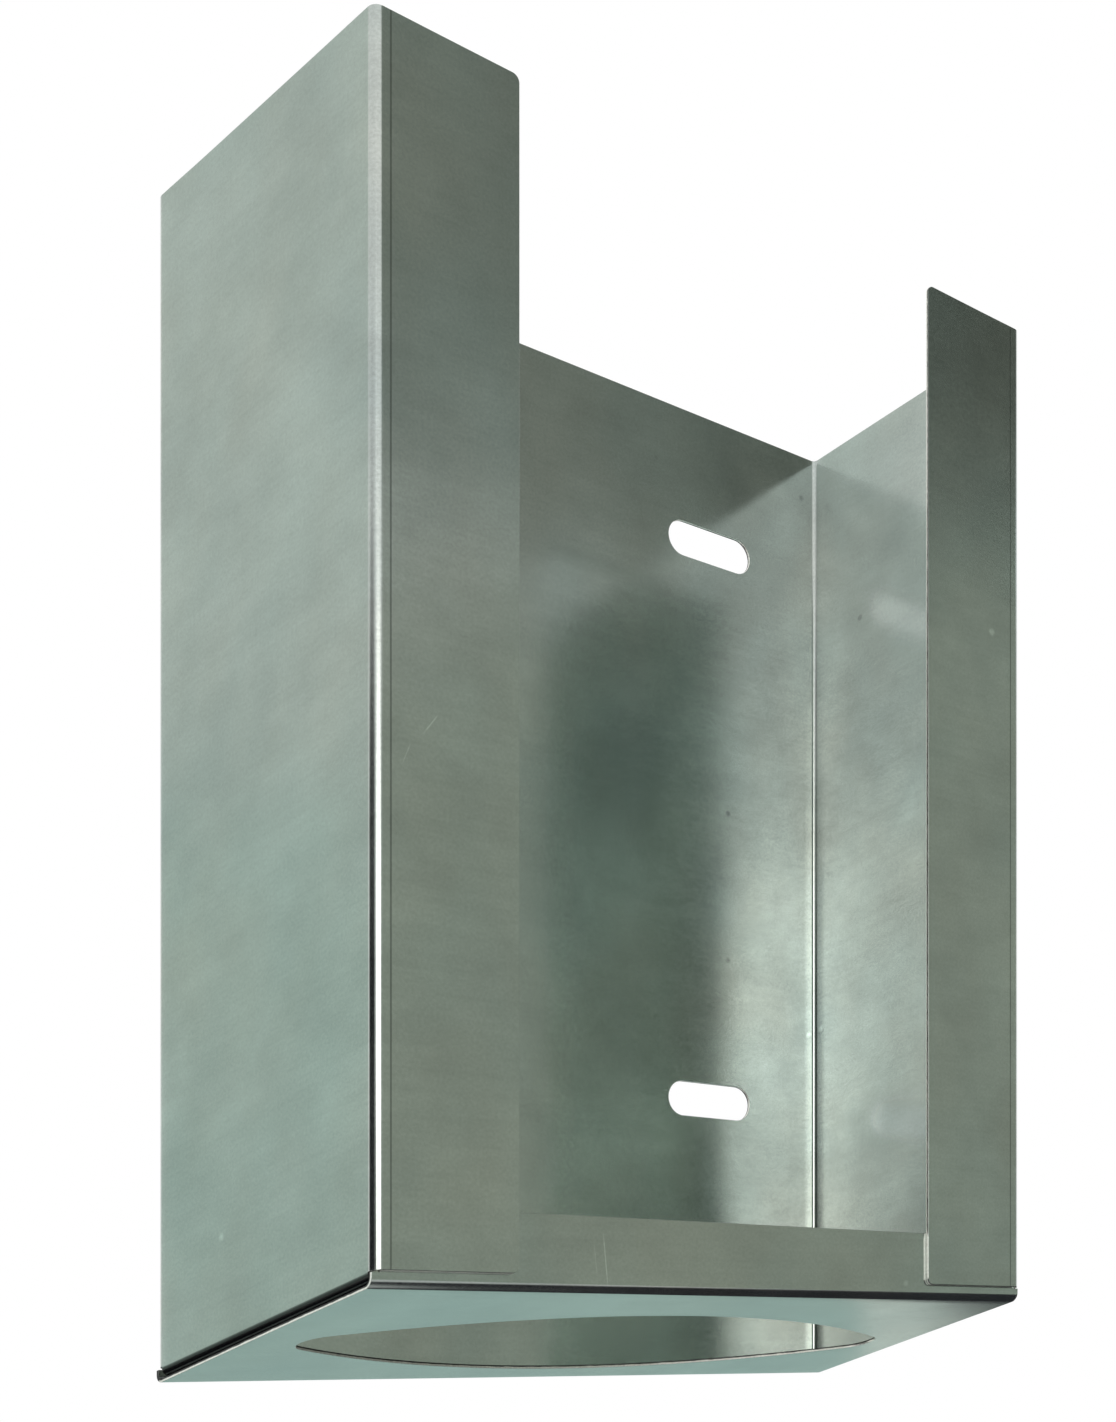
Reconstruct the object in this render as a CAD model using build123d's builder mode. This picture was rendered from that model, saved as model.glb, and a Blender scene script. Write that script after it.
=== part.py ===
from build123d import *
import os

os.makedirs("parts", exist_ok=True)

# Recessed paper towel dispenser, folded from one stainless steel sheet.
# X runs across it, Y from front to back and Z up. The origin is under the middle of the base,
# so the flanges' front faces lie at minus half the depth and the back's outer face at plus half.

# Sheet and folds
sheet = 1.2  # thickness
bend_inside = 1.8  # inside radius of every fold
bend_outside = bend_inside + sheet

# Overall size, over the outer faces
width = 275.0
depth = 115.0
height = 390.0

# Side walls and front flanges
flange_width = 49.5
wall_foot = 5.0  # height above the underside at which the walls and flanges end
free_corner = 2.5  # rounding of the free corners of the flanges and the lip

# Lip at the front of the base, which stands behind the flanges
lip_height = 25.0
lip_gap = 0.3  # between the lip and the back of the flanges
lip_side_gap = 0.5  # from the ends of the lip to the start of the flange folds
shoulder_gap = 0.4  # from the lip's full width foot up to the flanges

# Mouth in the base, where towels are pulled out: two wide arcs joined by small round ends
mouth_side_margin = 17.5  # from each side face to the end of the mouth
mouth_front_margin = 29.5  # from the front face to the mouth's front edge
mouth_back_margin = 14.5  # from the back face to the mouth's rear edge
mouth_end_radius = 9.0

# Four fixing slots in the back
slot_length = 40.0
slot_height = 14.0
slot_side_inset = 55.5  # from each side face to the middle of a slot
upper_slot_drop = 52.0  # from the top to the middle of the upper slots
lower_slot_height = 112.0  # from the underside to the middle of the lower slots

front = -depth / 2
back = depth / 2
side = width / 2
lip_front = front + sheet + lip_gap
lip_half_width = side - bend_outside - lip_side_gap
lip_shoulder = wall_foot - shoulder_gap
slot_pitch_across = width - 2 * slot_side_inset
slot_pitch_up = height - upper_slot_drop - lower_slot_height
slot_middle = lower_slot_height + slot_pitch_up / 2

# The wide arcs pass through the mouth's middle width and run tangent into the round ends
mouth_front = front + mouth_front_margin
mouth_back = back - mouth_back_margin
mouth_middle = (mouth_front + mouth_back) / 2
mouth_half_width = (mouth_back - mouth_front) / 2
end_centre = side - mouth_side_margin - mouth_end_radius
mouth_arc_radius = (end_centre**2 + mouth_half_width**2 - mouth_end_radius**2) / (
    2 * (mouth_half_width - mouth_end_radius)
)
arc_centre = mouth_arc_radius - mouth_half_width

with BuildPart() as folded_housing:
    # Foot of the back, base and lip: one side profile over the whole width
    with BuildSketch(Plane.YZ):
        with BuildLine():
            FilletPolyline(
                (back, wall_foot),
                (back, 0),
                (lip_front, 0),
                (lip_front, lip_height),
                radius=bend_outside,
            )
            offset(amount=sheet, side=Side.RIGHT)
        make_face()
    extrude(amount=side, both=True)

    # Reliefs beside the wall folds, where the foot of the back meets them
    with BuildSketch(Plane.XZ.offset(-back)):
        with Locations((0, bend_outside)):
            Rectangle(width, wall_foot - bend_outside, align=(Align.CENTER, Align.MIN))
            Rectangle(
                width - 2 * bend_outside,
                wall_foot - bend_outside,
                align=(Align.CENTER, Align.MIN),
                mode=Mode.SUBTRACT,
            )
    extrude(amount=sheet, mode=Mode.SUBTRACT)

    # Above its foot the lip is narrower, so that it stands between the walls
    with BuildSketch(Plane.XZ.offset(-lip_front)):
        with Locations((0, lip_shoulder)):
            Rectangle(width, lip_height, align=(Align.CENTER, Align.MIN))
            Rectangle(2 * lip_half_width, lip_height, align=(Align.CENTER, Align.MIN), mode=Mode.SUBTRACT)
    extrude(amount=-sheet, mode=Mode.SUBTRACT)
    lip_corners = folded_housing.edges().filter_by(Axis.Y).group_by(Axis.Z)[-1]
    fillet(lip_corners, free_corner)

    # Back, side walls and front flanges: one plan profile from the wall foot up
    with BuildSketch(Plane.XY.offset(wall_foot)):
        with BuildLine():
            FilletPolyline(
                (flange_width - side, front),
                (-side, front),
                (-side, back),
                (side, back),
                (side, front),
                (side - flange_width, front),
                radius=bend_outside,
            )
            offset(amount=sheet, side=Side.RIGHT)
        make_face()
    extrude(amount=height - wall_foot)
    flange_corners = folded_housing.edges().filter_by(Axis.Y).group_by(Axis.Y)[0]
    fillet(flange_corners, free_corner)

    # Mouth
    with BuildSketch():
        with Locations((0, mouth_middle)):
            with Locations((0, arc_centre)):
                Circle(mouth_arc_radius)
            with Locations((0, -arc_centre)):
                Circle(mouth_arc_radius, mode=Mode.INTERSECT)
        fillet(vertices(), mouth_end_radius)
    extrude(amount=sheet, mode=Mode.SUBTRACT)

    # Fixing slots
    with BuildSketch(Plane.XZ.offset(-back)):
        with Locations((0, slot_middle)):
            with GridLocations(slot_pitch_across, slot_pitch_up, 2, 2):
                SlotOverall(slot_length, slot_height)
    extrude(amount=sheet, mode=Mode.SUBTRACT)

folded_housing.part.label = "folded_housing"
export_step(folded_housing.part, "parts/folded_housing.step")
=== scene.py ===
import bpy
import numpy as np
from mathutils import Matrix, Vector


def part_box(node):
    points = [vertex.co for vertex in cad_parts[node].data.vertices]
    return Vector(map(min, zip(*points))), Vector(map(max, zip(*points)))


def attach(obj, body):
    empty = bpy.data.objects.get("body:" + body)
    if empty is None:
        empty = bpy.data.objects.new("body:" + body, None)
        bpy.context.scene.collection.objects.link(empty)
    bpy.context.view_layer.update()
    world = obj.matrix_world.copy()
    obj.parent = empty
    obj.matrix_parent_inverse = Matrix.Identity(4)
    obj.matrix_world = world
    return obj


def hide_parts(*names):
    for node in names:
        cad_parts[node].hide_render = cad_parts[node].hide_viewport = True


# Recessed paper towel dispenser: one sheet of satin stainless steel, drawn flat and folded by formula.
# Lengths on the sheet are in millimetres, and become metres when its mesh is made.
# Lengths in the studio are in metres.

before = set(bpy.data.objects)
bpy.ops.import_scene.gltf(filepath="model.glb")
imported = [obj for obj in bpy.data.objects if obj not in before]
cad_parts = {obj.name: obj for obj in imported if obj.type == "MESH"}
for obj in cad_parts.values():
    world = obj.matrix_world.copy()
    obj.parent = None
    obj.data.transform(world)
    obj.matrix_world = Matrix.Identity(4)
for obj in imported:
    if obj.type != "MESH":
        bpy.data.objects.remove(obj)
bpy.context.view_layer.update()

MM = 0.001
HOUSING = "folded_housing"
LOW, HIGH = (np.array(corner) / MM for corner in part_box(HOUSING))
SIDE = HIGH[0]
BACK = HIGH[1]
HEIGHT = HIGH[2]
DEPTH = BACK - LOW[1]

# The sheet and its folds
SHEET = 1.2
FOLD_RADIUS = 3.0  # over the outer face
FOLD_LENGTH = FOLD_RADIUS * np.pi / 2  # of the outer face round one fold
FLANGE_WIDTH = 49.5
WALL_FOOT = 5.0  # height at which the flanges end, and at which the feet of the walls begin
FREE_CORNER = 2.5  # rounding of the free corners of the flanges and the lip

# The foot of each wall, which turns in over the base
FOOT_STRAIGHT = 0.4  # before it turns
FOOT_REACH = 9.0  # of the flat strip that lies over the base
FOOT_SLIT = 0.5  # between the foot of the back and the corner folds

# The lip, which stands behind the flanges
LIP_HEIGHT = 25.0
LIP_GAP = 0.08  # between the lip and the back of the flanges
LIP_SIDE_GAP = 0.5  # from each end of the lip to the start of the flange fold
LIP_SHOULDER = 4.6  # height up to which it is as wide as the base

# The mouth in the base and the slots in the back
MOUTH_SIDE_MARGIN = 17.5  # from each side face
MOUTH_FRONT_MARGIN = 29.5  # from the flanges' front faces
MOUTH_BACK_MARGIN = 14.5  # from the back's outer face
MOUTH_END_RADIUS = 9.0
SLOT_LENGTH = 40.0
SLOT_HEIGHT = 14.0
SLOT_SIDE_INSET = 55.5  # from each side face to the middle of a slot
LOWER_SLOT = 112.0  # height of its middle
UPPER_SLOT = HEIGHT - 52.0  # likewise

# Flat stretches between the folds
BACK_FLAT = SIDE - FOLD_RADIUS  # from the middle of the back to its fold
WALL_FLAT = DEPTH - 2 * FOLD_RADIUS
FLANGE_FLAT = FLANGE_WIDTH - FOLD_RADIUS
FOOT_FLAT = WALL_FOOT - FOLD_RADIUS
BASE_FLAT = DEPTH - SHEET - LIP_GAP - 2 * FOLD_RADIUS
LIP_FLAT = LIP_HEIGHT - FOLD_RADIUS
LIP_HALF_WIDTH = BACK_FLAT - LIP_SIDE_GAP
FLANGE_END = BACK_FLAT + WALL_FLAT + FLANGE_FLAT + 2 * FOLD_LENGTH
LIP_END = FOOT_FLAT + BASE_FLAT + LIP_FLAT + 2 * FOLD_LENGTH

# The mesh
HOLE_MARGIN = 5.0  # from a hole to the box of whole cells round it
MOUTH_SPREAD = 0.89  # share of its place across towards which a point of the mouth's box is pulled
PANEL_STEP = 4.5
HOLE_STEP = 1.5
FINE_STEP = 0.5
MARK_STEP = 0.25
FOLD_STEP = FOLD_LENGTH / 12
EDGE_BREAK = 0.12  # rounding of every cut edge
SKIN = 0.01  # by which the drawn sheet lies inside its true outer faces

# Marks that the press leaves on the outer face beside each flange fold
MARK_FROM_FOLD = 2.5
MARK_ZONE = 3.5  # stretch beside a fold that the mesh follows closely
MARK_DEPTH = 0.03
MARK_HALF_WIDTH = 0.2
FAR_FROM_FOLD = 99.0  # given to every point that no mark can reach

# The slight hollow of the flat panels
HOLLOW_DEPTH = 0.045  # for each unit of its waves
HOLLOW_FROM_UPRIGHT = 14.0  # distance from an upright fold over which it sets in
HOLLOW_FROM_LEVEL = 22.0  # and from a level one

# Tones of the steel
COOL_STEEL = (0.455, 0.515, 0.495, 1)
WARM_STEEL = (0.485, 0.515, 0.480, 1)
TORN_EDGE = (0.05, 0.05, 0.05, 1)
# Also the tone of the painted highlight along the flanges' cut edges beside the lip.
BURNISHED_EDGE_AND_HIGHLIGHT = (0.95, 0.94, 0.88, 1)

# Scratches that show. For each: its start and end on the flat sheet, half width and how much lighter it is
SCRATCHES = (
    ((-56.0, -131.0), (-54.0, -111.5), 0.32, 0.55),
    ((-59.5, -128.0), (-58.2, -115.0), 0.25, 0.25),
    ((-271.0, 178.0), (-266.0, 171.0), 0.28, 0.40),
    ((-262.0, 167.5), (-259.0, 160.0), 0.25, 0.35),
)


def folded(run, first, middle):
    """Follows a sheet that is flat for a length first, turns a quarter circle, is flat for a length middle,
    turns another quarter circle and is flat again. For each distance run along its outer face: how far that
    is from the start in the first direction, how far square to it, and the angle turned so far."""
    turn_one = np.clip((run - first) / FOLD_RADIUS, 0, np.pi / 2)
    turn_two = np.clip((run - first - FOLD_LENGTH - middle) / FOLD_RADIUS, 0, np.pi / 2)
    last = np.maximum(run - first - middle - 2 * FOLD_LENGTH, 0)
    onward = np.minimum(run, first) + FOLD_RADIUS * (np.sin(turn_one) + np.cos(turn_two) - 1) - last
    inward = np.clip(run - first - FOLD_LENGTH, 0, middle)
    inward += FOLD_RADIUS * (1 - np.cos(turn_one) + np.sin(turn_two))
    return onward, inward, turn_one + turn_two


def place_upper(across, height):
    """Back, walls and flanges: the sheet runs both ways from the middle of the back round the plan profile,
    and straight up. Gives the outer face's points, its outward directions and the flat sheet's
    coordinates."""
    onward, inward, angle = folded(np.abs(across), BACK_FLAT, WALL_FLAT)
    hand = np.sign(across)
    points = np.stack([hand * onward, BACK - inward, height], -1)
    outward = np.stack([hand * np.sin(angle), np.cos(angle), 0 * height], -1)
    return points, outward, np.stack([across, height], -1)


def place_lower(down, across):
    """Foot of the back, base and lip: the sheet runs down from the wall foot round the side profile, and
    straight across. Gives the outer face's points, its outward directions and the flat sheet's
    coordinates."""
    onward, inward, angle = folded(down, FOOT_FLAT, BASE_FLAT)
    points = np.stack([across, BACK - inward, WALL_FOOT - onward], -1)
    outward = np.stack([0 * across, np.cos(angle), -np.sin(angle)], -1)
    return points, outward, np.stack([across, WALL_FOOT - down], -1)


def place_foot(across, height):
    """Foot of a wall: below the wall foot the sheet goes straight on, turns inwards a quarter circle and lies
    flat over the base. Height runs on down the sheet. Gives the same three things."""
    run = WALL_FOOT - height
    _, inward, _ = folded(np.abs(across), BACK_FLAT, WALL_FLAT)
    turn = np.clip((run - FOOT_STRAIGHT) / FOLD_RADIUS, 0, np.pi / 2)
    flat_run = np.maximum(run - FOOT_STRAIGHT - FOLD_LENGTH, 0)
    hand = np.sign(across)
    x = SIDE - FOLD_RADIUS * (1 - np.cos(turn)) - flat_run
    z = WALL_FOOT - np.minimum(run, FOOT_STRAIGHT) - FOLD_RADIUS * np.sin(turn)
    points = np.stack([hand * x, BACK - inward, z], -1)
    outward = np.stack([hand * np.cos(turn), 0 * across, -np.sin(turn)], -1)
    return points, outward, np.stack([across, height], -1)


def spaced(*stretches):
    """Line positions. Each stretch is (start, end, step), and is divided evenly into steps no longer than
    that."""
    parts = []
    for start, end, step in stretches:
        count = int(np.ceil((end - start) / step - 1e-6))
        parts.append(np.linspace(start, end, count + 1)[:-1])
    return np.append(np.concatenate(parts), stretches[-1][1])


def within(first, second, box):
    """Which cells of a grid have their middle inside box: first low, first high, second low, second high."""
    a, b = (first[1:] + first[:-1]) / 2, (second[1:] + second[:-1]) / 2
    return np.outer((a > box[0]) & (a < box[1]), (b > box[2]) & (b < box[3]))


def round_corner(first, second, centre, way, radius):
    """Rounds one free corner of a grid: beyond the centre of the rounding, square rings of points about that
    centre are drawn in to circles, by the share of the larger offset to the distance."""
    a, b = (first - centre[0]) * way[0], (second - centre[1]) * way[1]
    inside = (a > 0) & (b > 0) & (a < radius + 1e-6) & (b < radius + 1e-6)
    share = np.where(inside, np.maximum(a, b) / np.maximum(np.hypot(a, b), 1e-9), 1.0)
    return centre[0] + way[0] * a * share, centre[1] + way[1] * b * share


def block_outline(first, second, box):
    """The grid's own points round a box, clockwise, closed, as offsets from the middle of the box."""
    a = first[(first > box[0] - 1e-6) & (first < box[1] + 1e-6)]
    b = second[(second > box[2] - 1e-6) & (second < box[3] + 1e-6)]
    loop_a = np.concatenate([0 * b + a[0], a[1:], 0 * b[1:] + a[-1], a[-2::-1]])
    loop_b = np.concatenate([b, 0 * a[1:] + b[-1], b[-2::-1], 0 * a[1:] + b[0]])
    return loop_a - (box[0] + box[1]) / 2, loop_b - (box[2] + box[3]) / 2


def slot_edge(along, up):
    """Pulls points towards the slot's middle line until they are half its height from it."""
    radius = SLOT_HEIGHT / 2
    middle = np.clip(along, radius - SLOT_LENGTH / 2, SLOT_LENGTH / 2 - radius)
    share = radius / np.hypot(along - middle, up)
    return middle + (along - middle) * share, up * share


def mouth_edge(back, across):
    """Pulls points towards the mouth's long axis until they meet its outline: one of the two wide arcs, or
    the small circle at that end once past the point where the arcs run into it. Each crossing is the larger
    root of the quadratic for a straight line and a circle."""
    half_length = SIDE - MOUTH_SIDE_MARGIN
    half_width = (DEPTH - MOUTH_FRONT_MARGIN - MOUTH_BACK_MARGIN) / 2
    end = half_length - MOUTH_END_RADIUS
    arc = (end**2 + half_width**2 - MOUTH_END_RADIUS**2) / (2 * (half_width - MOUTH_END_RADIUS))
    side = np.where(back < 0, -1.0, 1.0)
    target = MOUTH_SPREAD * across

    def crossing(centre_back, centre_across, radius):
        towards = np.stack([back, across - target])
        start = np.stack([0 * back - centre_back, target - centre_across])
        a, b, c = (towards**2).sum(0), (towards * start).sum(0), (start**2).sum(0) - radius**2
        share = (np.sqrt(np.maximum(b * b - a * c, 0)) - b) / a
        return share * back, target + share * (across - target)

    wide_back, wide_across = crossing(side * (half_width - arc), 0, arc)
    meets_end = end + MOUTH_END_RADIUS * end / (arc - MOUTH_END_RADIUS)
    hand = np.sign(across)
    past = np.abs(wide_across) > meets_end
    end_back, end_across = crossing(0, hand * end, MOUTH_END_RADIUS)
    return np.where(past, end_back, wide_back), np.where(past, end_across, wide_across)


def ring(first, second, box, edge, levels):
    """The sheet between a hole and the box round it: each point on the box is joined straight to its point on
    the hole's edge."""
    outer = np.array(block_outline(first, second, box))
    inner = np.array(edge(*outer))
    share = np.linspace(0, 1, levels)
    middle = np.array([box[0] + box[1], box[2] + box[3]]) / 2
    return tuple(middle[k] + inner[k][:, None] + np.outer(outer[k] - inner[k], share) for k in (0, 1))


def patch(first, second, keep, place):
    """One grid of the sheet: its placed points and the four corners of each cell that is kept, ordered so
    that the faces look outwards."""
    points, outward, flat = place(first, second)
    number = np.arange(first.size).reshape(first.shape)
    faces = np.stack([number[:-1, :-1], number[:-1, 1:], number[1:, 1:], number[1:, :-1]], -1)[keep]
    return points.reshape(-1, 3), outward.reshape(-1, 3), flat.reshape(-1, 2), faces


def upper_patches():
    """Back, walls and flanges as one grid with the slots' boxes left out, a ring round each slot, and the
    feet of the walls. Gives the patches and the lines across the back."""
    slot_box = SLOT_LENGTH / 2 + HOLE_MARGIN
    slot_across = SIDE - SLOT_SIDE_INSET
    rear_wall = BACK_FLAT + FOLD_LENGTH
    front_wall = rear_wall + WALL_FLAT
    flange = front_wall + FOLD_LENGTH
    half = spaced(
        (0, slot_across - slot_box, PANEL_STEP),
        (slot_across - slot_box, slot_across + slot_box, HOLE_STEP),
        (slot_across + slot_box, BACK_FLAT, PANEL_STEP),
        (BACK_FLAT, rear_wall, FOLD_STEP),
        (rear_wall, front_wall, PANEL_STEP),
        (front_wall, flange, FOLD_STEP),
        (flange, flange + MARK_ZONE, MARK_STEP),
        (flange + MARK_ZONE, FLANGE_END - FREE_CORNER, PANEL_STEP),
        (FLANGE_END - FREE_CORNER, FLANGE_END, FINE_STEP),
    )
    across = np.concatenate([-half[:0:-1], half])
    slot_rise = SLOT_HEIGHT / 2 + HOLE_MARGIN
    height = spaced(
        (WALL_FOOT, WALL_FOOT + FREE_CORNER, FINE_STEP),
        (WALL_FOOT + FREE_CORNER, LOWER_SLOT - slot_rise, PANEL_STEP),
        (LOWER_SLOT - slot_rise, LOWER_SLOT + slot_rise, HOLE_STEP),
        (LOWER_SLOT + slot_rise, UPPER_SLOT - slot_rise, PANEL_STEP),
        (UPPER_SLOT - slot_rise, UPPER_SLOT + slot_rise, HOLE_STEP),
        (UPPER_SLOT + slot_rise, HEIGHT - FREE_CORNER, PANEL_STEP),
        (HEIGHT - FREE_CORNER, HEIGHT, FINE_STEP),
    )
    keep = np.ones((len(across) - 1, len(height) - 1), bool)
    patches = []
    for x in (-slot_across, slot_across):
        for z in (LOWER_SLOT, UPPER_SLOT):
            box = (x - slot_box, x + slot_box, z - slot_rise, z + slot_rise)
            keep &= ~within(across, height, box)
            first, second = ring(across, height, box, slot_edge, 5)
            patches.append(patch(first, second, np.ones((len(first) - 1, 4), bool), place_upper))
    first, second = np.meshgrid(across, height, indexing="ij")
    for hand in (-1, 1):
        for centre, way in ((WALL_FOOT + FREE_CORNER, -1), (HEIGHT - FREE_CORNER, 1)):
            corner = (hand * (FLANGE_END - FREE_CORNER), centre)
            first, second = round_corner(first, second, corner, (hand, way), FREE_CORNER)
    patches.append(patch(first, second, keep, place_upper))
    turn_start = WALL_FOOT - FOOT_STRAIGHT
    turn_end = turn_start - FOLD_LENGTH
    foot = spaced(
        (turn_end - FOOT_REACH, turn_end, PANEL_STEP),
        (turn_end, turn_start, FOLD_STEP),
        (turn_start, WALL_FOOT, FINE_STEP),
    )
    for hand in (-1, 1):
        wall = across[(hand * across > rear_wall - 1e-6) & (hand * across < front_wall + 1e-6)]
        first, second = np.meshgrid(wall, foot, indexing="ij")
        patches.append(patch(first, second, np.ones((len(wall) - 1, len(foot) - 1), bool), place_foot))
    return patches, across[np.abs(across) < BACK_FLAT + 1e-6]


def lower_patches(back_lines):
    """Foot of the back, base and lip as one grid with the mouth's box left out, and a ring round the mouth.
    Its lines across are the back's, so that the two meet point for point, with a few more out to the side
    faces."""
    beyond = spaced((BACK_FLAT, SIDE, FINE_STEP))[1:]
    across = np.concatenate([-beyond[::-1], back_lines, beyond])
    base = FOOT_FLAT + FOLD_LENGTH
    lip_fold = base + BASE_FLAT
    lip = lip_fold + FOLD_LENGTH
    shoulder = lip + LIP_SHOULDER - FOLD_RADIUS
    mouth_near = base + MOUTH_BACK_MARGIN - FOLD_RADIUS
    mouth_far = mouth_near + DEPTH - MOUTH_FRONT_MARGIN - MOUTH_BACK_MARGIN
    mouth_box = (mouth_near - HOLE_MARGIN, mouth_far + HOLE_MARGIN)
    down = spaced(
        (0, FOOT_FLAT, FINE_STEP),
        (FOOT_FLAT, base, FOLD_STEP),
        (base, mouth_box[0], PANEL_STEP),
        (*mouth_box, PANEL_STEP),
        (mouth_box[1], lip_fold, PANEL_STEP),
        (lip_fold, lip, FOLD_STEP),
        (lip, shoulder, MARK_STEP),
        (shoulder, LIP_END - FREE_CORNER, PANEL_STEP),
        (LIP_END - FREE_CORNER, LIP_END, FINE_STEP),
    )
    reach = back_lines[np.searchsorted(back_lines, SIDE - MOUTH_SIDE_MARGIN + HOLE_MARGIN)]
    box = (*mouth_box, -reach, reach)
    keep = ~within(down, across, box)
    for low, high in ((-SIDE, -BACK_FLAT), (BACK_FLAT, SIDE)):
        keep &= ~within(down, across, (0, FOOT_SLIT, low, high))
    for low, high in ((-SIDE, -LIP_HALF_WIDTH), (LIP_HALF_WIDTH, SIDE)):
        keep &= ~within(down, across, (shoulder, LIP_END, low, high))
    first, second = ring(down, across, box, mouth_edge, 6)
    patches = [patch(first, second, np.ones((len(first) - 1, 5), bool), place_lower)]
    first, second = np.meshgrid(down, across, indexing="ij")
    for hand in (-1, 1):
        corner = (LIP_END - FREE_CORNER, hand * (LIP_HALF_WIDTH - FREE_CORNER))
        first, second = round_corner(first, second, corner, (1, hand), FREE_CORNER)
    patches.append(patch(first, second, keep, place_lower))
    return patches


def fold_distance(flat):
    """How far each point of the flat sheet is from the nearest folded stretch, and from the nearest fold that
    runs level."""
    across, height = np.abs(flat[:, 0]), flat[:, 1]
    rear = BACK_FLAT + FOLD_LENGTH / 2
    front = rear + WALL_FLAT + FOLD_LENGTH
    upright = np.minimum(np.abs(across - rear), np.abs(across - front)) - FOLD_LENGTH / 2
    down = WALL_FOOT - height
    foot = FOOT_FLAT + FOLD_LENGTH / 2
    lip = foot + BASE_FLAT + FOLD_LENGTH
    level = np.minimum(np.abs(down - foot), np.abs(down - lip)) - FOLD_LENGTH / 2
    is_lower = height < WALL_FOOT - 1e-6
    return np.maximum(np.where(is_lower, level, upright), 0), np.maximum(level, 0)


def hollowing(flat):
    """How far the rolled sheet sinks inwards between its folds, as every thin panel does: a few long waves
    across and along the sheet, never outwards, which die away towards the folds."""
    across, height = flat[:, 0], flat[:, 1]
    nearest, level = fold_distance(flat)
    waves = (
        2.0
        + np.sin(across / 31.0 + 0.8)
        + 0.6 * np.sin(height / 43.0 - across / 67.0 + 2.1)
        + 0.4 * np.sin(height / 19.0 + across / 23.0)
    )
    off_upright = 1 - np.exp(-((nearest / HOLLOW_FROM_UPRIGHT) ** 2))
    off_level = 1 - np.exp(-((level / HOLLOW_FROM_LEVEL) ** 2))
    return HOLLOW_DEPTH * waves * off_upright * off_level


def on_flange(flat):
    """Which points lie on the front flanges, beyond the middle of their folds."""
    return np.abs(flat[:, 0]) > BACK_FLAT + WALL_FLAT + 1.5 * FOLD_LENGTH


def press_marks(flat):
    """Depth of the shallow grooves beside the flange folds, on the outer face: a bell curve across each."""
    nearest, _ = fold_distance(flat)
    off_middle = (nearest - MARK_FROM_FOLD) / MARK_HALF_WIDTH
    return on_flange(flat) * MARK_DEPTH * np.exp(-(off_middle**2))


def cut_tones(flat):
    """Tone of the cut edges, for the outer and then the inner points: the shear leaves one half of a cut
    burnished and the other half torn and dark. Where the flanges lie over the lip their outer half is bright
    too, a painted highlight."""
    lower = flat[:, 1] < WALL_FOOT - 1e-6
    # Painted highlight: the flanges' cut edges beside the lip are made bright through the whole thickness.
    lip_highlight = (np.abs(flat[:, 0]) > FLANGE_END - 0.01) & (flat[:, 1] < LIP_HEIGHT)
    rear_foot = lower & (flat[:, 1] > 0)
    outer = np.where((lower & ~rear_foot) | lip_highlight, 1.0, 0.0)
    inner = np.where(lower, 0.0, 1.0)
    return np.concatenate([outer, inner])


def foot_painted_shade(flat):
    """How dark the painted shade is in the crease under each wall: none down to the wall foot, then
    full within half a millimetre, and nearly full at the ends of the foot of the back."""
    across, height = np.abs(flat[:, 0]), flat[:, 1]
    under_wall = (across > BACK_FLAT + FOLD_LENGTH - 0.01) & (height < WALL_FOOT)
    rear_corner = (across > BACK_FLAT) & (across < SIDE + 0.01) & (height > 0) & (height < WALL_FOOT - 0.01)
    return np.where(under_wall, np.clip((WALL_FOOT - height) / 0.5, 0, 1), 0.0) + 0.8 * rear_corner


def add_values(mesh, name, values):
    """Gives every point of a mesh its own value, which the materials read by name."""
    made = mesh.attributes.new(name, "FLOAT", "POINT")
    made.data.foreach_set("value", values.astype(np.float32))


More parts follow.
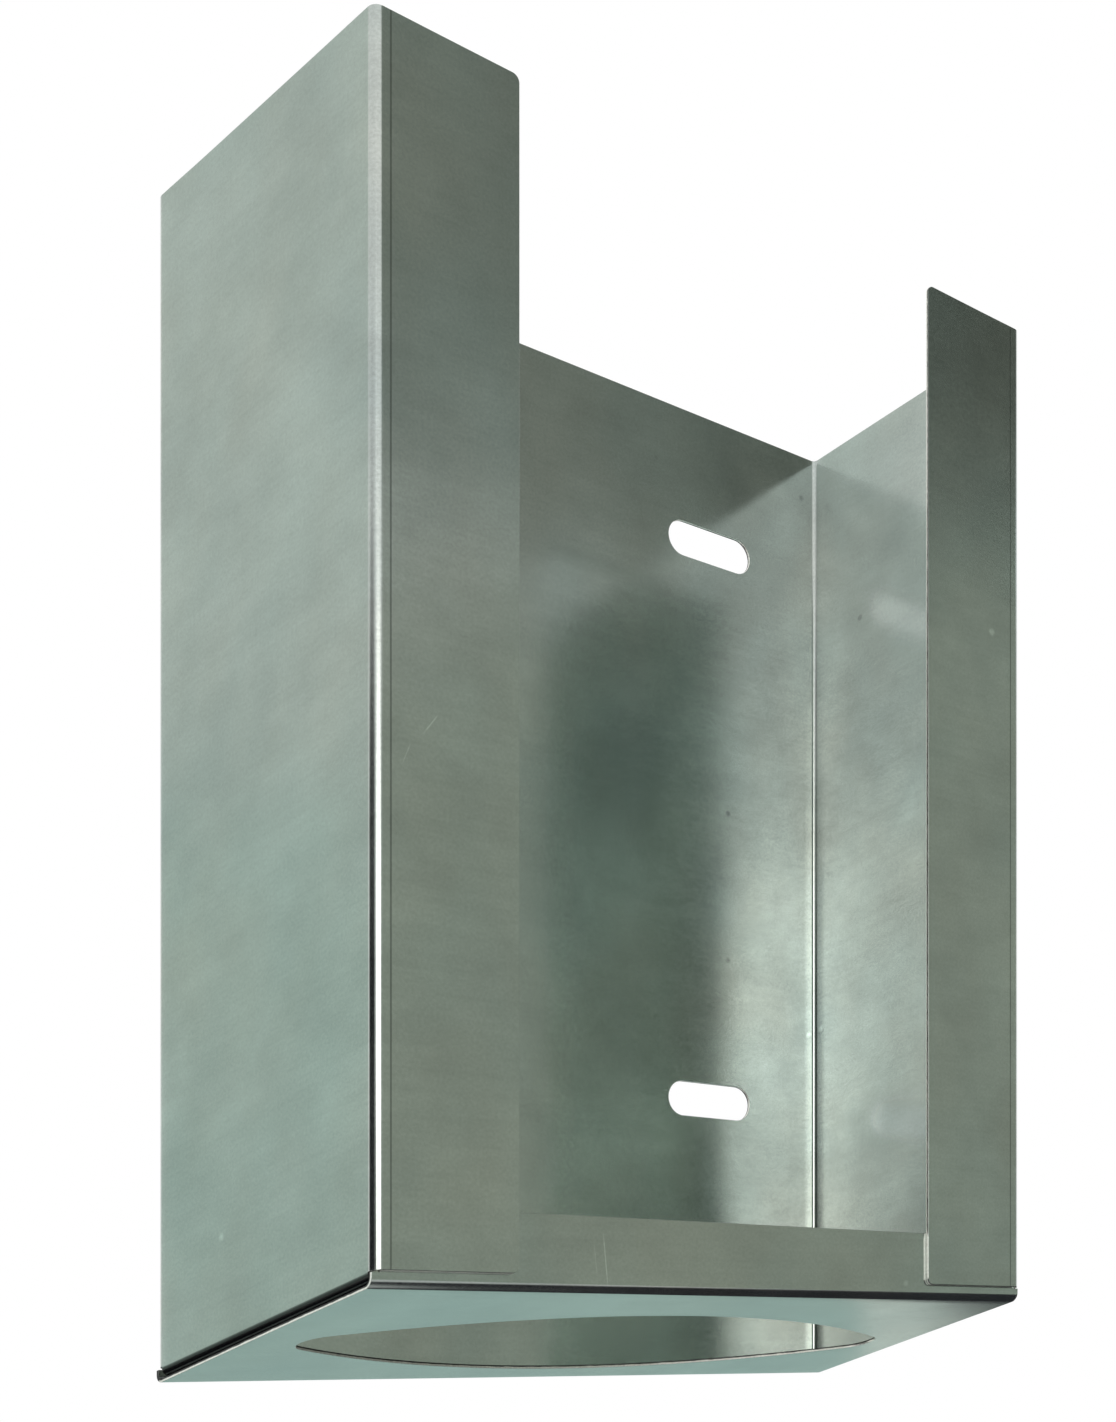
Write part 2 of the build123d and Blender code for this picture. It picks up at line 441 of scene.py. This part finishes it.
def folded_sheet():
    """The whole sheet as one closed shell: the patches welded into an outer face, the same face moved inwards
    by the thickness and turned over, and a strip along every edge that only one cell has."""
    upper, back_lines = upper_patches()
    patches = upper + lower_patches(back_lines)
    starts = np.cumsum([0] + [len(p[0]) for p in patches[:-1]])
    faces = np.concatenate([p[3] + start for p, start in zip(patches, starts)])
    points, outward, flat = (np.concatenate([p[k] for p in patches]) for k in range(3))
    used, faces = np.unique(faces, return_inverse=True)
    points, outward, flat, faces = points[used], outward[used], flat[used], faces.reshape(-1, 4)
    _, first, same = np.unique(np.round(points, 4), axis=0, return_index=True, return_inverse=True)
    points, outward, flat, faces = points[first], outward[first], flat[first], same.ravel()[faces]

    middle = points - outward * (SKIN + hollowing(flat))[:, None]
    outer = middle - outward * press_marks(flat)[:, None]
    inner = middle - outward * SHEET
    count = len(points)
    sides = np.stack([faces, np.roll(faces, -1, axis=1)], -1).reshape(-1, 2)
    _, where, uses = np.unique(np.sort(sides, axis=1), axis=0, return_index=True, return_counts=True)
    rim = sides[where[uses == 1]]
    strip = np.stack([rim[:, 1], rim[:, 0], rim[:, 0] + count, rim[:, 1] + count], -1)
    all_faces = np.concatenate([faces, faces[:, ::-1] + count, strip])

    mesh = bpy.data.meshes.new("folded_sheet")
    mesh.from_pydata(np.concatenate([outer, inner]) * MM, [], all_faces.tolist())
    layer = mesh.uv_layers.new(name="flat_sheet")
    corners = np.tile(flat * MM, (2, 1))[all_faces.ravel()]
    layer.data.foreach_set("uv", corners.astype(np.float32).ravel())
    outer_from_fold = np.where(on_flange(flat), fold_distance(flat)[0], FAR_FROM_FOLD)
    inner_from_fold = np.full(count, FAR_FROM_FOLD)
    add_values(mesh, "from_fold", np.concatenate([outer_from_fold, inner_from_fold]))
    add_values(mesh, "cut_tone", cut_tones(flat))
    # Painted shade for the creases at the feet of the walls and the ends of the foot of the back.
    add_values(mesh, "painted_shade", np.tile(foot_painted_shade(flat), 2))
    materials = np.zeros(len(all_faces), np.int32)
    materials[-len(strip):] = 1
    mesh.polygons.foreach_set("material_index", materials)
    mesh.polygons.foreach_set("use_smooth", np.ones(len(all_faces), bool))
    mesh.update()
    mesh.validate()
    piece = bpy.data.objects.new("folded_sheet", mesh)
    bpy.context.scene.collection.objects.link(piece)
    return piece


def break_edges(piece):
    """Takes the sharpness off every cut edge."""
    bevel = piece.modifiers.new("edge_break", "BEVEL")
    bevel.width = EDGE_BREAK * MM
    bevel.segments = 2
    bevel.limit_method = "ANGLE"
    bevel.angle_limit = np.radians(50)
    bevel.harden_normals = True


def node(tree, kind, values=(), **settings):
    """Adds a shader node, sets it up, and fills its inputs by name or number with values or with other
    sockets. Of a MapRange, inputs 1 to 4 are the range that it takes in and the range that it gives."""
    made = tree.nodes.new("ShaderNode" + kind)
    for name, value in settings.items():
        setattr(made, name, value)
    for key, value in dict(values).items():
        if isinstance(value, bpy.types.NodeSocket):
            tree.links.new(value, made.inputs[key])
        else:
            made.inputs[key].default_value = value
    return made


def stretched(tree, place, along, up, shift=0.0):
    """The flat sheet's coordinates, scaled differently across and up."""
    scaling = node(tree, "Mapping", {"Vector": place, "Scale": (along, up, 1), "Location": (shift, shift, 0)})
    return scaling.outputs["Vector"]


def cloud(tree, place, scale, detail, low, high, to_low, to_high):
    """A soft noise, with its part between low and high spread over the range to_low to to_high."""
    noise = node(tree, "TexNoise", {"Vector": place, "Scale": scale, "Detail": detail, "Roughness": 0.6})
    spread = node(tree, "MapRange", {0: noise.outputs["Fac"], 1: low, 2: high, 3: to_low, 4: to_high})
    return spread.outputs[0]


def times(tree, first, second):
    """Product of two values."""
    return node(tree, "Math", {0: first, 1: second}, operation="MULTIPLY").outputs[0]


def scratch(tree, place, start, end, width, strength):
    """One straight scratch between two points of the flat sheet, in millimetres: a value that rises from one
    to one plus strength within width of the line, and fades towards both ends."""
    start, end = Vector((*start, 0)) * MM, Vector((*end, 0)) * MM
    length = (end - start).length
    way = (end - start) / length
    square = Vector((-way.y, way.x, 0))
    offset = node(tree, "VectorMath", {0: place, 1: start}, operation="SUBTRACT").outputs[0]
    along = node(tree, "VectorMath", {0: offset, 1: way}, operation="DOT_PRODUCT").outputs["Value"]
    beside = node(tree, "VectorMath", {0: offset, 1: square}, operation="DOT_PRODUCT").outputs["Value"]
    away = node(tree, "Math", {0: beside}, operation="ABSOLUTE").outputs[0]
    near = node(tree, "MapRange", {0: away, 1: 0.0, 2: width * MM, 3: strength, 4: 0.0}).outputs[0]
    begin = node(tree, "MapRange", {0: along, 1: 0.0, 2: length * 0.2, 3: 0.0, 4: 1.0}).outputs[0]
    finish = node(tree, "MapRange", {0: along, 1: length * 0.7, 2: length, 3: 1.0, 4: 0.0}).outputs[0]
    mark = times(tree, near, times(tree, begin, finish))
    return node(tree, "Math", {0: mark, 1: 1.0}, operation="ADD").outputs[0]


def speckle(tree, place, scale, share, tone):
    """Sparse round dots: in a share of the cells of a Voronoi pattern, a dot of the given tone at its
    middle."""
    cells = node(tree, "TexVoronoi", {"Vector": place, "Scale": scale})
    reach = {0: cells.outputs["Distance"], 1: 0.045, 2: 0.09, 3: tone - 1, 4: 0.0}
    dot = node(tree, "MapRange", reach).outputs[0]
    chosen = node(tree, "SeparateColor", {0: cells.outputs["Color"]}).outputs[0]
    picked = node(tree, "Math", {0: chosen, 1: share}, operation="LESS_THAN").outputs[0]
    return node(tree, "Math", {0: times(tree, dot, picked), 1: 1.0}, operation="ADD").outputs[0]


def satin_steel():
    """Mill finished stainless sheet: a fine grain, faint streaks along the rolling direction, cloudy smudges
    where it was handled, a dark line where the press blade stood beside each flange fold, a few scratches
    and specks, and painted shade in the creases at the feet of the walls."""
    material = bpy.data.materials.new("satin_steel")
    material.use_nodes = True
    tree = material.node_tree
    shader = tree.nodes["Principled BSDF"]
    flat = node(tree, "UVMap", uv_map="flat_sheet").outputs["UV"]

    grain = cloud(tree, flat, 950.0, 2.0, 0.3, 0.7, 0.93, 1.07)
    streaks = cloud(tree, stretched(tree, flat, 9.0, 420.0), 1.0, 1.0, 0.3, 0.7, 0.98, 1.02)
    bands = cloud(tree, stretched(tree, flat, 22.0, 2.2, 3.1), 1.0, 1.0, 0.3, 0.7, 0.98, 1.02)
    clouds = cloud(tree, stretched(tree, flat, 1.0, 0.8, 0.37), 22.0, 4.0, 0.33, 0.67, 0.91, 1.08)
    wipes = cloud(tree, stretched(tree, flat, 46.0, 80.0, 5.3), 1.0, 2.0, 0.35, 0.7, 0.965, 1.035)
    distance = node(tree, "Attribute", attribute_name="from_fold").outputs["Fac"]
    off_line = node(tree, "Math", {0: distance, 1: MARK_FROM_FOLD}, operation="SUBTRACT").outputs[0]
    beside = node(tree, "Math", {0: off_line}, operation="ABSOLUTE").outputs[0]
    press_line = node(tree, "MapRange", {0: beside, 1: 0.12, 2: 0.42, 3: 0.5, 4: 1.0}).outputs[0]
    tone = times(tree, times(tree, times(tree, grain, streaks), times(tree, bands, clouds)), wipes)
    tone = times(tree, tone, press_line)
    tone = times(tree, tone, speckle(tree, flat, 55.0, 0.10, 0.72))
    tone = times(tree, tone, speckle(tree, stretched(tree, flat, 1.0, 1.0, 0.61), 48.0, 0.06, 1.35))
    # Painted shade: the steel's colour is darkened in the creases under the walls and at the ends of the foot
    # of the back.
    painted_shade = node(tree, "Attribute", attribute_name="painted_shade").outputs["Fac"]
    painted_darkening = node(tree, "MapRange", {0: painted_shade, 1: 0.0, 2: 1.0, 3: 1.0, 4: 0.1}).outputs[0]
    tone = times(tree, tone, painted_darkening)
    for start, end, width, strength in SCRATCHES:
        tone = times(tree, tone, scratch(tree, flat, start, end, width, strength))

    warm = cloud(tree, stretched(tree, flat, 1.0, 0.7, 0.83), 9.0, 3.0, 0.35, 0.65, 0.0, 1.0)
    tint = node(tree, "Mix", {0: warm, 6: COOL_STEEL, 7: WARM_STEEL}, data_type="RGBA").outputs[2]
    colour = node(tree, "VectorMath", {0: tint, "Scale": tone}, operation="SCALE").outputs[0]
    tree.links.new(colour, shader.inputs["Base Color"])
    shader.inputs["Metallic"].default_value = 1.0
    broad_rough = cloud(tree, flat, 17.0, 4.0, 0.3, 0.7, 0.15, 0.20)
    fine_rough = cloud(tree, flat, 600.0, 1.0, 0.3, 0.7, 0.92, 1.08)
    tree.links.new(times(tree, broad_rough, fine_rough), shader.inputs["Roughness"])
    relief = node(tree, "Bump", {"Height": grain, "Strength": 0.12, "Distance": 0.00004})
    tree.links.new(relief.outputs["Normal"], shader.inputs["Normal"])
    return material


def cut_steel():
    """The sheared edge: burnished in one half of the thickness, torn and dark in the other, with fine drag
    lines. Along the flanges over the lip the bright tone is a painted highlight."""
    material = bpy.data.materials.new("cut_steel")
    material.use_nodes = True
    tree = material.node_tree
    shader = tree.nodes["Principled BSDF"]
    flat = node(tree, "UVMap", uv_map="flat_sheet").outputs["UV"]
    depth = node(tree, "Attribute", attribute_name="cut_tone").outputs["Fac"]
    wander = cloud(tree, flat, 260.0, 2.0, 0.3, 0.7, -0.08, 0.08)
    edge = node(tree, "Math", {0: depth, 1: wander}, operation="ADD").outputs[0]
    # The bright half of the cut: the shear's burnish, and along the flanges beside the lip a painted
    # highlight.
    burnished = node(tree, "MapRange", {0: edge, 1: 0.38, 2: 0.52, 3: 0.0, 4: 1.0}).outputs[0]
    lines = cloud(tree, flat, 1500.0, 2.0, 0.3, 0.7, 0.85, 1.1)
    tint = node(tree, "Mix", {0: burnished, 6: TORN_EDGE, 7: BURNISHED_EDGE_AND_HIGHLIGHT}, data_type="RGBA").outputs[2]
    colour = node(tree, "VectorMath", {0: tint, "Scale": lines}, operation="SCALE").outputs[0]
    tree.links.new(colour, shader.inputs["Base Color"])
    shader.inputs["Metallic"].default_value = 1.0
    shader.inputs["Roughness"].default_value = 0.42
    return material


def plain(name, colour):
    """A matt studio surface."""
    material = bpy.data.materials.new(name)
    material.use_nodes = True
    shader = material.node_tree.nodes["Principled BSDF"]
    shader.inputs["Base Color"].default_value = (*colour, 1)
    shader.inputs["Roughness"].default_value = 0.9
    shader.inputs["Specular IOR Level"].default_value = 0.0
    return material


def direction(azimuth, pitch):
    """Unit direction: azimuth in degrees from straight ahead of the front, positive towards minus X, and
    pitch above the level."""
    a, p = np.radians(azimuth), np.radians(pitch)
    return Vector((-np.sin(a) * np.cos(p), -np.cos(a) * np.cos(p), np.sin(p)))


def facing_middle(thing, azimuth, pitch, distance):
    """Puts a lamp or a card at a distance from the object's middle, turned to face it."""
    middle = Vector((0, 0, HEIGHT / 2 * MM))
    way = direction(azimuth, pitch)
    thing.location = middle + way * distance
    thing.rotation_mode = "QUATERNION"
    thing.rotation_quaternion = way.to_track_quat("Z", "Y")


def soft_box(name, azimuth, pitch, distance, width, height, radiance):
    """A rectangular studio lamp. Its power is its area times pi, and its colour its radiance."""
    lamp = bpy.data.lights.new(name, "AREA")
    lamp.shape = "RECTANGLE"
    lamp.size, lamp.size_y = width, height
    lamp.energy = width * height * np.pi
    lamp.color = radiance
    thing = bpy.data.objects.new(name, lamp)
    bpy.context.scene.collection.objects.link(thing)
    facing_middle(thing, azimuth, pitch, distance)
    thing.visible_camera = False


def card(name, azimuth, pitch, distance, width, height, colour):
    """A matt card that only the steel sees, in its reflections."""
    mesh = bpy.data.meshes.new(name)
    w, h = width / 2, height / 2
    mesh.from_pydata([(-w, -h, 0), (w, -h, 0), (w, h, 0), (-w, h, 0)], [], [(0, 1, 2, 3)])
    mesh.materials.append(plain(name, colour))
    thing = bpy.data.objects.new(name, mesh)
    bpy.context.scene.collection.objects.link(thing)
    facing_middle(thing, azimuth, pitch, distance)
    thing.visible_camera = False
    thing.visible_shadow = False
    thing.visible_diffuse = False


def studio():
    """A pale floor well under the object, a white surround, a large soft box, a small one, and cards that
    stand where each face of the object mirrors them."""
    mesh = bpy.data.meshes.new("floor")
    reach, drop = 40.0, -1.0
    mesh.from_pydata(
        [(-reach, -reach, drop), (reach, -reach, drop), (reach, reach, drop), (-reach, reach, drop)],
        [],
        [(0, 1, 2, 3)],
    )
    mesh.materials.append(plain("pale_floor", (0.82, 0.82, 0.81)))
    floor = bpy.data.objects.new("floor", mesh)
    bpy.context.scene.collection.objects.link(floor)

    soft_box("window_light", 20.3, 13, 4.0, 2.83, 1.6, (3.0, 2.85, 2.75))
    soft_box("side_light", 44, 22, 4.1, 0.45, 1.6, (0.3, 0.3, 0.3))
    card("left_mid_card", 51.5, 7, 3.9, 1.15, 1.1, (0.25, 0.26, 0.25))
    card("right_card", -43, 8, 4.0, 4.8, 3.0, (0.47, 0.52, 0.45))
    card("right_mid_card", -28, 46, 4.0, 2.0, 2.4, (0.33, 0.37, 0.33))
    card("right_high_card", -58, 44, 4.0, 2.4, 2.2, (0.15, 0.17, 0.15))
    card("left_card", 89, 8, 4.0, 4.5, 2.8, (0.03, 0.03, 0.035))
    card("left_rear_card", 146, 8, 4.0, 1.15, 2.2, (0.72, 0.88, 0.81))
    card("left_rear_high_card", 146, 38, 4.0, 1.15, 2.2, (0.90, 1.0, 0.95))
    card("rear_low_card", 163, -28, 1.6, 1.2, 1.0, (0.03, 0.03, 0.04))
    card("right_rear_card", -153, -22, 1.5, 1.05, 1.2, (0.50, 0.68, 0.64))
    card("right_rear_light_card", -122, -18, 1.55, 0.6, 1.0, (0.88, 1.0, 0.93))
    card("low_card", -86, -46, 0.9, 1.6, 0.8, (0.04, 0.04, 0.045))

    world = bpy.data.worlds.new("white_surround")
    bpy.context.scene.world = world
    world.use_nodes = True
    nodes, links = world.node_tree.nodes, world.node_tree.links
    background = nodes["Background"]
    background.inputs["Color"].default_value = (1, 1, 1, 1)
    path = nodes.new("ShaderNodeLightPath")
    seen = nodes.new("ShaderNodeMath")
    seen.operation = "MAXIMUM"
    links.new(path.outputs["Is Camera Ray"], seen.inputs[0])
    links.new(path.outputs["Is Glossy Ray"], seen.inputs[1])
    also = nodes.new("ShaderNodeMath")
    also.operation = "MAXIMUM"
    links.new(seen.outputs[0], also.inputs[0])
    links.new(path.outputs["Is Transmission Ray"], also.inputs[1])
    level = nodes.new("ShaderNodeMapRange")
    level.inputs["To Min"].default_value = 0.75
    level.inputs["To Max"].default_value = 1.0
    links.new(also.outputs[0], level.inputs["Value"])
    links.new(level.outputs["Result"], background.inputs["Strength"])


def camera():
    """The photograph's camera. The photograph was squared up after it was taken, so the object's upright
    edges stand upright in it while its rows lean. The camera's stand carries that: its columns are where the
    picture's right, up and back point, and where the camera is."""
    place = Vector((-0.5706, -0.7167, -0.1951))
    look = Vector((0.5455, 0.7242, 0.4218))
    right = Vector((0.5104, -0.8300, -0.2250))
    up = Vector((0.0, 0.0, 1.0))
    focal_length = 2788  # in the photograph's pixels
    picture_height = 1422
    cam = bpy.data.objects.new("camera", bpy.data.cameras.new("camera"))
    bpy.context.scene.collection.objects.link(cam)
    cam.data.lens = cam.data.sensor_width * focal_length / picture_height
    stand = bpy.data.objects.new("camera_stand", None)
    bpy.context.scene.collection.objects.link(stand)
    cam.parent = stand
    columns = (right, up, -look, place)
    cam.matrix_parent_inverse = Matrix([[*(c[k] for c in columns)] for k in range(3)] + [[0, 0, 0, 1]])
    bpy.context.scene.camera = cam


piece = folded_sheet()
piece.data.materials.append(satin_steel())
piece.data.materials.append(cut_steel())
break_edges(piece)
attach(piece, "root")
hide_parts(HOUSING)

studio()
camera()
bpy.context.scene.view_settings.view_transform = "Standard"
